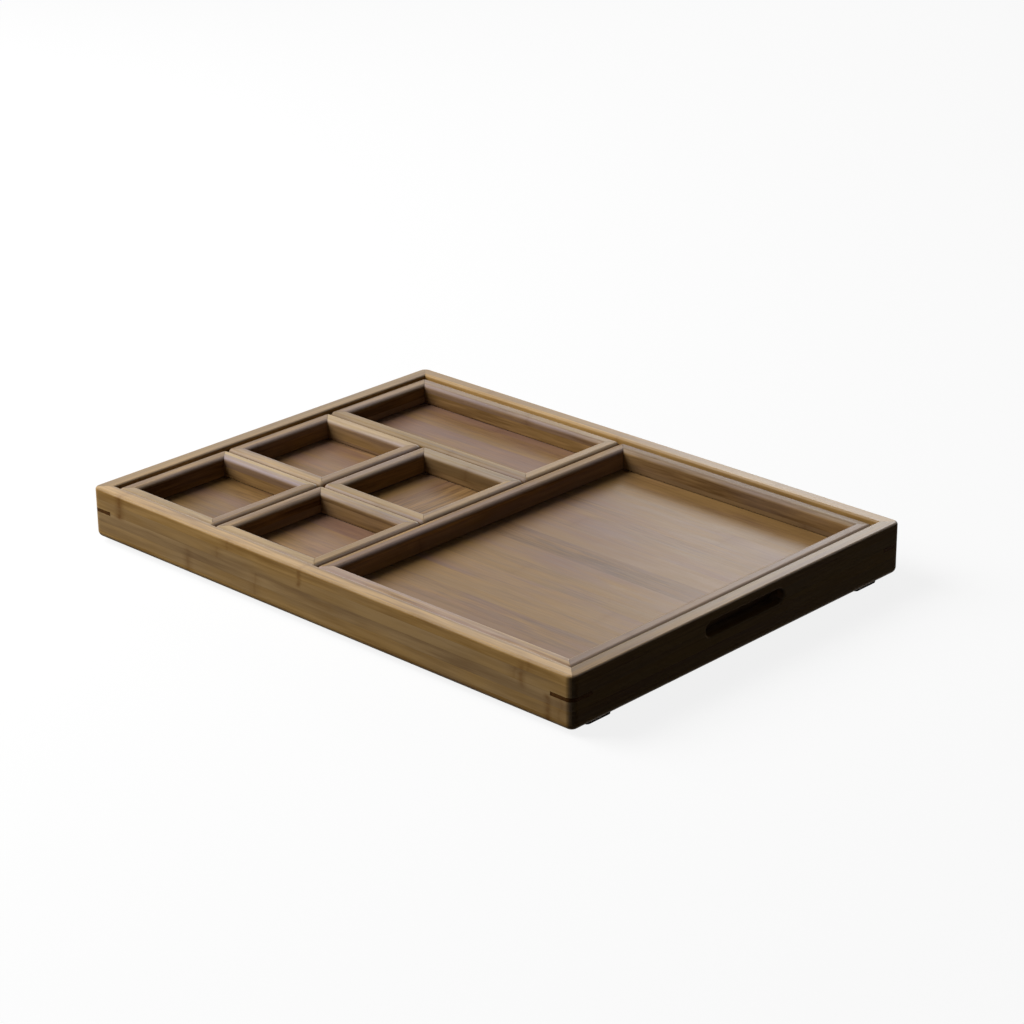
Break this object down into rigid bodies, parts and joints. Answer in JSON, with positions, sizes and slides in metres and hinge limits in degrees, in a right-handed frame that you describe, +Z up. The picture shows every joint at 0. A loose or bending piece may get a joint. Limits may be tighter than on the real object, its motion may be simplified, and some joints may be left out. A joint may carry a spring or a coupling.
{
  "type": "tea tray",
  "caption": "Shallow mitred bamboo serving tray with a dark slip across each corner, a handle slot in each end and loose round-railed inner trays that divide it.",
  "frame": {"origin": "centre of the tray's footprint, on the surface that its feet stand on", "axes": "+X along the long side, towards the end with the large inner tray; +Y from the front board to the back board; +Z up"},
  "size_m": [0.395, 0.285, 0.035],
  "materials": {
    "board_bamboo": "satin lacquer on carbonised bamboo",
    "slip_bamboo": "satin lacquer on dark bamboo end grain",
    "base_bamboo": "satin lacquer on laminated bamboo strips",
    "rail_bamboo": "satin lacquer on carbonised bamboo",
    "floor_bamboo": "satin lacquer on laminated bamboo strips",
    "foot_rubber": "matt"
  },
  "bodies": {
    "outer_tray": {"front_board": "board_bamboo", "back_board": "board_bamboo", "left_board": "board_bamboo", "right_board": "board_bamboo", "corner_slip_front_left": "slip_bamboo", "corner_slip_front_right": "slip_bamboo", "corner_slip_back_left": "slip_bamboo", "corner_slip_back_right": "slip_bamboo", "base_panel": "base_bamboo", "foot_front_left": "foot_rubber", "foot_front_right": "foot_rubber", "foot_back_left": "foot_rubber", "foot_back_right": "foot_rubber"},
    "small_tray_1": {"small_tray_1_front_rail": "rail_bamboo", "small_tray_1_back_rail": "rail_bamboo", "small_tray_1_left_rail": "rail_bamboo", "small_tray_1_right_rail": "rail_bamboo", "small_tray_1_floor": "floor_bamboo"},
    "small_tray_2": {"small_tray_2_front_rail": "rail_bamboo", "small_tray_2_back_rail": "rail_bamboo", "small_tray_2_left_rail": "rail_bamboo", "small_tray_2_right_rail": "rail_bamboo", "small_tray_2_floor": "floor_bamboo"},
    "small_tray_3": {"small_tray_3_front_rail": "rail_bamboo", "small_tray_3_back_rail": "rail_bamboo", "small_tray_3_left_rail": "rail_bamboo", "small_tray_3_right_rail": "rail_bamboo", "small_tray_3_floor": "floor_bamboo"},
    "small_tray_4": {"small_tray_4_front_rail": "rail_bamboo", "small_tray_4_back_rail": "rail_bamboo", "small_tray_4_left_rail": "rail_bamboo", "small_tray_4_right_rail": "rail_bamboo", "small_tray_4_floor": "floor_bamboo"},
    "medium_tray": {"medium_tray_front_rail": "rail_bamboo", "medium_tray_back_rail": "rail_bamboo", "medium_tray_left_rail": "rail_bamboo", "medium_tray_right_rail": "rail_bamboo", "medium_tray_floor": "floor_bamboo"},
    "large_tray": {"large_tray_front_rail": "rail_bamboo", "large_tray_back_rail": "rail_bamboo", "large_tray_left_rail": "rail_bamboo", "large_tray_right_rail": "rail_bamboo", "large_tray_floor": "floor_bamboo"}
  },
  "joints": [
    {"name": "lift_small_tray_1", "type": "slide", "parent": "outer_tray", "child": "small_tray_1", "axis": [0, 0, 1], "range_m": [0, 0.045]},
    {"name": "lift_small_tray_2", "type": "slide", "parent": "outer_tray", "child": "small_tray_2", "axis": [0, 0, 1], "range_m": [0, 0.045]},
    {"name": "lift_small_tray_3", "type": "slide", "parent": "outer_tray", "child": "small_tray_3", "axis": [0, 0, 1], "range_m": [0, 0.045]},
    {"name": "lift_small_tray_4", "type": "slide", "parent": "outer_tray", "child": "small_tray_4", "axis": [0, 0, 1], "range_m": [0, 0.045]},
    {"name": "lift_medium_tray", "type": "slide", "parent": "outer_tray", "child": "medium_tray", "axis": [0, 0, 1], "range_m": [0, 0.045]},
    {"name": "lift_large_tray", "type": "slide", "parent": "outer_tray", "child": "large_tray", "axis": [0, 0, 1], "range_m": [0, 0.045]}
  ]
}
